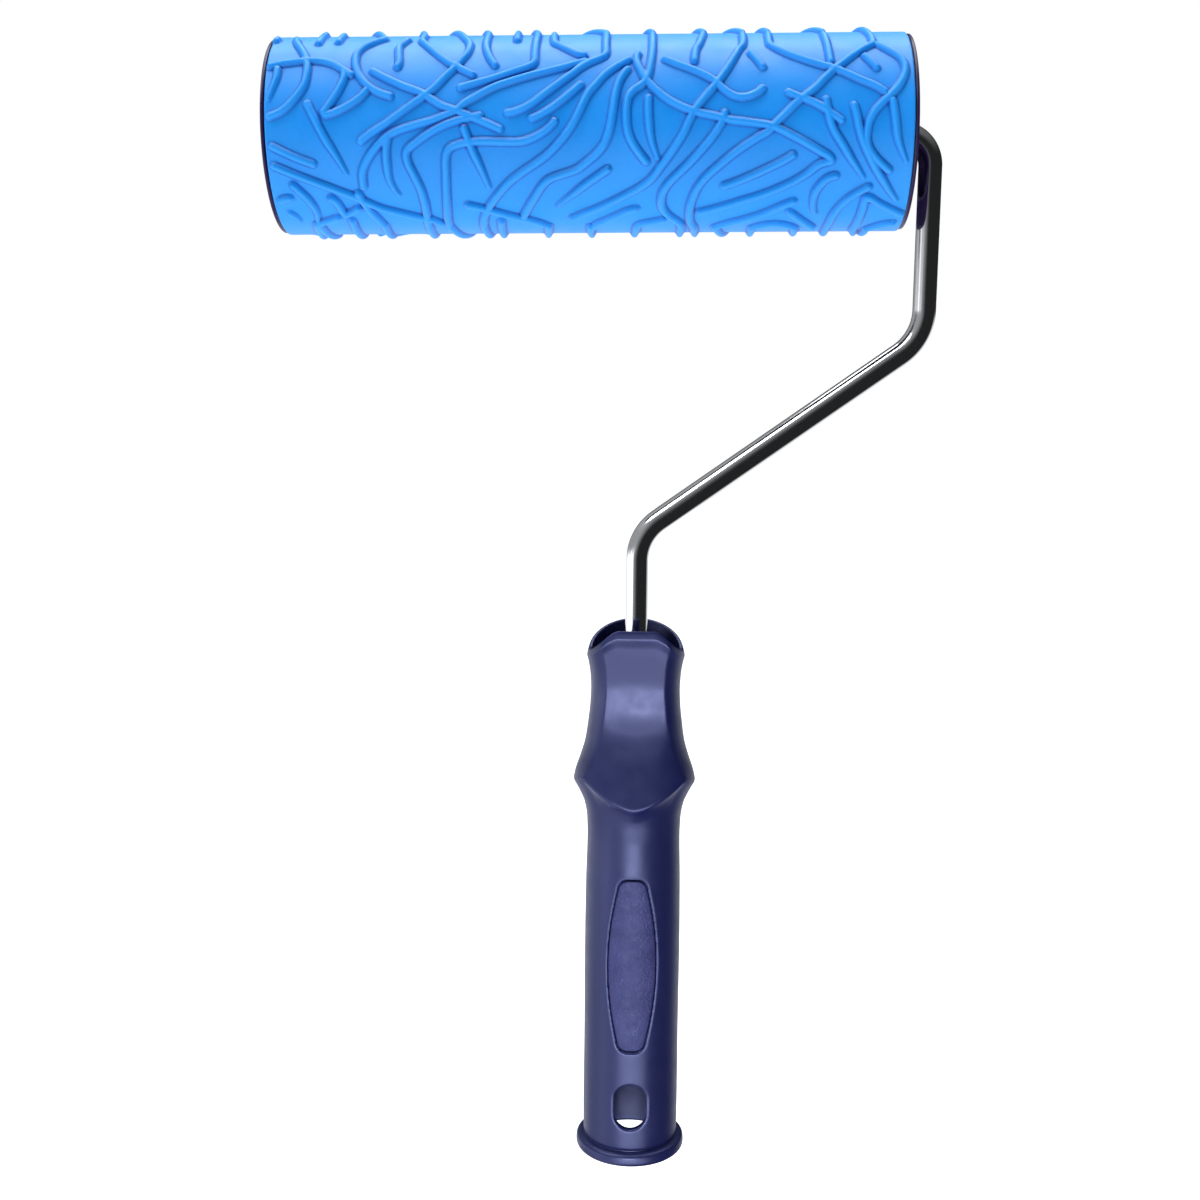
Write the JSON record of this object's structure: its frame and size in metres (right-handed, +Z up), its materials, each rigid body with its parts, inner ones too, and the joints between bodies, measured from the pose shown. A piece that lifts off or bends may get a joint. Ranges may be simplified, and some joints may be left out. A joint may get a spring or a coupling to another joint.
{
  "type": "textured pattern roller",
  "caption": "Embossed rubber pattern roller turning on a cranked rod frame, with a hollow moulded handle, for pressing a relief pattern into wet paint or plaster.",
  "frame": {"origin": "midway between the roller's free end and the outside of the rod's upright, midway front to back, on the plane of the handle's open end", "axes": "+Z up along the handle towards the roller, +X square to it towards the rod's upright (the roller's axle rises 0.8 degrees that way), -Y towards the handle's faceted front"},
  "size_m": [0.1916, 0.0578, 0.3421],
  "materials": {
    "rubber_azure": "soft moulded rubber, satin, azure blue",
    "plastic_navy": "moulded polypropylene, satin, navy blue, fine spark-eroded grain",
    "pad_navy": "soft-touch pad, matt, leather grain, navy blue",
    "cap_navy": "moulded plastic, semi-gloss, very dark navy",
    "tube_white": "extruded plastic tube, matt white",
    "bush_white": "nylon, natural white",
    "chrome": "bright chrome plate on steel rod",
    "zinc_steel": "zinc plated spring steel"
  },
  "bodies": {
    "frame": {"handle_body": "plastic_navy", "grip_pad_front": "pad_navy", "grip_pad_back": "pad_navy", "frame_rod": "chrome", "stop_collar": "zinc_steel", "thrust_washer_inner": "zinc_steel", "thrust_washer_outer": "zinc_steel", "push_nut": "zinc_steel"},
    "roller": {"texture_sleeve": "rubber_azure", "core_tube": "tube_white", "end_cap_left": "cap_navy", "end_cap_right": "cap_navy", "bearing_bush_left": "bush_white", "bearing_bush_right": "bush_white"}
  },
  "joints": [
    {"name": "roller_spin", "type": "hinge", "parent": "frame", "child": "roller", "pos_m": [-0.00565, 0, 0.312], "axis": [0.9999, 0, 0.014], "continuous": true}
  ]
}
